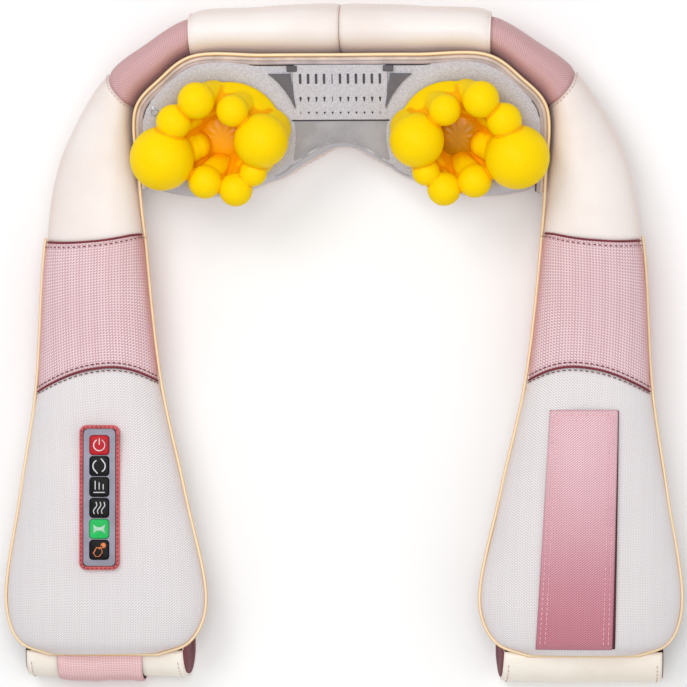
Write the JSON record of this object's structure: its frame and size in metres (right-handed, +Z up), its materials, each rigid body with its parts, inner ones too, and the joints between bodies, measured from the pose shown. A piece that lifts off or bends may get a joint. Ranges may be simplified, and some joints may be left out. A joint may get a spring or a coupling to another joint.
{
  "type": "neck massager",
  "caption": "Padded U-shaped neck and shoulder massager with two rotating kneading heads, padded arms, hand loops and a push-button panel.",
  "frame": {"origin": "middle of the footprint, on the surface the massager lies on", "axes": "+Z up, out of the massage side; +Y towards the neck end; +X to the right, away from the control panel"},
  "size_m": [0.481, 0.475, 0.1138],
  "materials": {
    "cream_leather": "smooth, soft sheen",
    "pink_weave": "fine diamond weave, slight sheen",
    "pouch_canvas": "fine twill weave",
    "gold_piping": "smooth cord",
    "mesh_fabric": "air mesh, matt",
    "slot_grille": "matt",
    "dark_trim": "matt",
    "foam": "open-cell foam, matt",
    "casing_plastic": "fine texture",
    "steel": "brushed",
    "brass": "satin",
    "nylon": "matt",
    "yellow_silicone": "soft gloss",
    "amber_hub": "translucent gloss",
    "circuit": "solder-masked",
    "panel_border": "satin",
    "panel_face": "satin membrane",
    "black_key": "satin",
    "red_key": "satin",
    "green_key": "satin"
  },
  "bodies": {
    "root": {"neck_cover_left": "cream_leather", "neck_cover_right": "cream_leather", "wedge_panel_left": "pink_weave", "wedge_panel_right": "pink_weave", "shoulder_cover_left": "cream_leather", "shoulder_cover_right": "cream_leather", "collar_foam": "foam", "mesh_liner": "mesh_fabric", "rear_cover": "cream_leather", "slot_panel": "slot_grille", "liner_trim_left": "dark_trim", "liner_trim_right": "dark_trim", "rear_housing": "casing_plastic", "front_housing": "casing_plastic", "motor_can": "steel", "motor_bracket": "nylon", "circuit_board": "circuit", "shaft_bearing_left": "brass", "shaft_bearing_right": "brass", "head_bush_left": "brass", "head_bush_right": "brass", "case_screw_1": "steel", "case_screw_2": "steel", "power_inlet": "casing_plastic", "neck_piping": "gold_piping"},
    "left_head": {"massage_head_left": "yellow_silicone", "worm_wheel_left": "nylon", "hub_cap_left": "amber_hub"},
    "right_head": {"massage_head_right": "yellow_silicone", "worm_wheel_right": "nylon", "hub_cap_right": "amber_hub"},
    "rotor": {"worm_shaft": "steel"},
    "left_arm": {"arm_band_left": "pink_weave", "pouch_left": "pouch_canvas", "arm_foam_left": "foam", "arm_piping_left": "gold_piping", "hand_loop_left": "cream_leather", "loop_wrap_left": "pink_weave", "vibration_motor_left": "steel", "motor_cradle_left": "nylon", "panel_border": "panel_border", "panel_face": "panel_face", "control_tray": "casing_plastic", "button_board": "circuit"},
    "right_arm": {"arm_band_right": "pink_weave", "pouch_right": "pouch_canvas", "arm_foam_right": "foam", "arm_piping_right": "gold_piping", "hand_loop_right": "cream_leather", "front_strap_right": "pink_weave", "vibration_motor_right": "steel", "motor_cradle_right": "nylon"},
    "left_weight": {"eccentric_weight_left": "brass"},
    "right_weight": {"eccentric_weight_right": "brass"},
    "power_button": {"button_power": "red_key"},
    "rotation_button": {"button_rotation": "black_key"},
    "speed_button": {"button_speed": "black_key"},
    "vibration_button": {"button_vibration": "black_key"},
    "massage_button": {"button_massage": "green_key"},
    "heat_button": {"button_heat": "black_key"}
  },
  "joints": [
    {"name": "left_head_spin", "type": "hinge", "parent": "root", "child": "left_head", "pos_m": [-0.086, 0.1445, 0.062], "axis": [0, -0.342, 0.9397], "continuous": true},
    {"name": "right_head_spin", "type": "hinge", "parent": "root", "child": "right_head", "pos_m": [0.086, 0.1445, 0.062], "axis": [0, -0.342, 0.9397], "continuous": true},
    {"name": "rotor_spin", "type": "hinge", "parent": "root", "child": "rotor", "pos_m": [0, 0.17248, 0.0509], "axis": [1, 0, 0], "continuous": true},
    {"name": "left_arm_flex", "type": "hinge", "parent": "root", "child": "left_arm", "pos_m": [0, 0.0745, 0.063], "axis": [-1, 0, 0], "range_deg": [0, 75]},
    {"name": "right_arm_flex", "type": "hinge", "parent": "root", "child": "right_arm", "pos_m": [0, 0.0745, 0.063], "axis": [-1, 0, 0], "range_deg": [0, 75]},
    {"name": "left_weight_spin", "type": "hinge", "parent": "left_arm", "child": "left_weight", "pos_m": [-0.174, 0.0315, 0.039], "axis": [0, 1, 0], "continuous": true},
    {"name": "right_weight_spin", "type": "hinge", "parent": "right_arm", "child": "right_weight", "pos_m": [0.174, 0.0315, 0.039], "axis": [0, 1, 0], "continuous": true},
    {"name": "power_press", "type": "slide", "parent": "left_arm", "child": "power_button", "axis": [0, 0, -1], "range_m": [0, 0.0008], "stiffness_N_per_m": 400},
    {"name": "rotation_press", "type": "slide", "parent": "left_arm", "child": "rotation_button", "axis": [0, 0, -1], "range_m": [0, 0.0008], "stiffness_N_per_m": 400},
    {"name": "speed_press", "type": "slide", "parent": "left_arm", "child": "speed_button", "axis": [0, 0, -1], "range_m": [0, 0.0008], "stiffness_N_per_m": 400},
    {"name": "vibration_press", "type": "slide", "parent": "left_arm", "child": "vibration_button", "axis": [0, 0, -1], "range_m": [0, 0.0008], "stiffness_N_per_m": 400},
    {"name": "massage_press", "type": "slide", "parent": "left_arm", "child": "massage_button", "axis": [0, 0, -1], "range_m": [0, 0.0008], "stiffness_N_per_m": 400},
    {"name": "heat_press", "type": "slide", "parent": "left_arm", "child": "heat_button", "axis": [0, 0, -1], "range_m": [0, 0.0008], "stiffness_N_per_m": 400}
  ],
  "couplings": [
    {"joint": "right_head_spin", "follows": "left_head_spin", "ratio": -1},
    {"joint": "rotor_spin", "follows": "left_head_spin", "ratio": 28}
  ]
}
